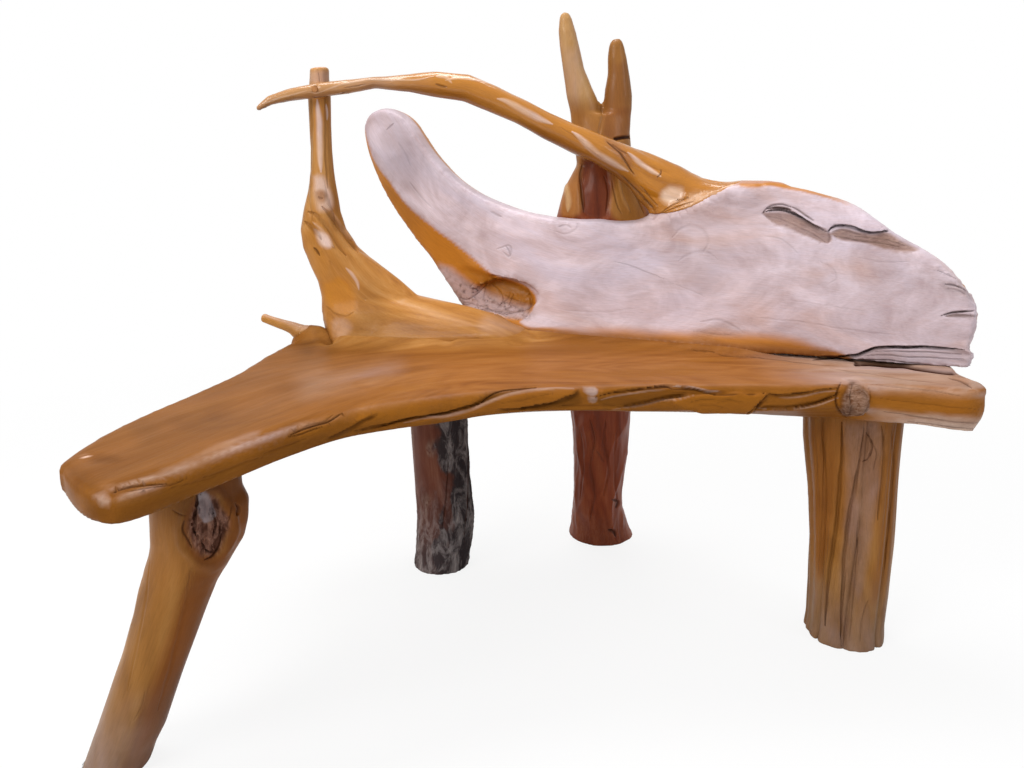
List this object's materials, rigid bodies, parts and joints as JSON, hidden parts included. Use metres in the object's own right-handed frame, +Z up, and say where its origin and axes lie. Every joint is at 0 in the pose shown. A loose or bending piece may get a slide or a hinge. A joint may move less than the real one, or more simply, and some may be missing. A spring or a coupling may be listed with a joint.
{
  "type": "rustic log bench",
  "caption": "Split-log bench seat on log legs, with a sawn slab back, a flared root post and a curved branch arching from the back to the post.",
  "frame": {"origin": "on the floor, under the middle of the bench's box", "axes": "+X along the bench, to the right of a viewer who faces it; +Y from the viewer to the back; +Z up"},
  "size_m": [1.2022, 0.8701, 0.96],
  "materials": {
    "seat_wood": "glossy clear varnish over orange-brown wood",
    "back_wood": "satin varnish over pale sawn wood, golden live edges",
    "post_wood": "glossy clear varnish over golden-tan wood",
    "arch_wood": "glossy clear varnish over golden-orange wood",
    "leg_wood": "satin varnish over brown wood with grey-brown knots",
    "bark_wood": "satin brown wood with dark grey bark patches",
    "trunk_wood": "satin varnish, red-brown below and golden-tan at the fork",
    "dowel_wood": "bare turned wood",
    "pin_wood": "varnished turned wood",
    "screw_steel": "zinc-plated steel"
  },
  "bodies": {
    "root": {"seat_log": "seat_wood", "backrest_slab": "back_wood", "root_post": "post_wood", "side_peg": "post_wood", "arch_branch": "arch_wood", "front_left_leg": "leg_wood", "front_right_leg": "leg_wood", "rear_left_leg": "bark_wood", "rear_trunk": "trunk_wood", "tenon_wedges": "dowel_wood", "backrest_dowels": "dowel_wood", "post_dowels": "dowel_wood", "arch_root_dowels": "dowel_wood", "arch_post_pin": "pin_wood", "trunk_seat_lags": "screw_steel", "trunk_seat_washers": "screw_steel", "trunk_back_lags": "screw_steel", "trunk_back_washers": "screw_steel"}
  },
  "joints": []
}
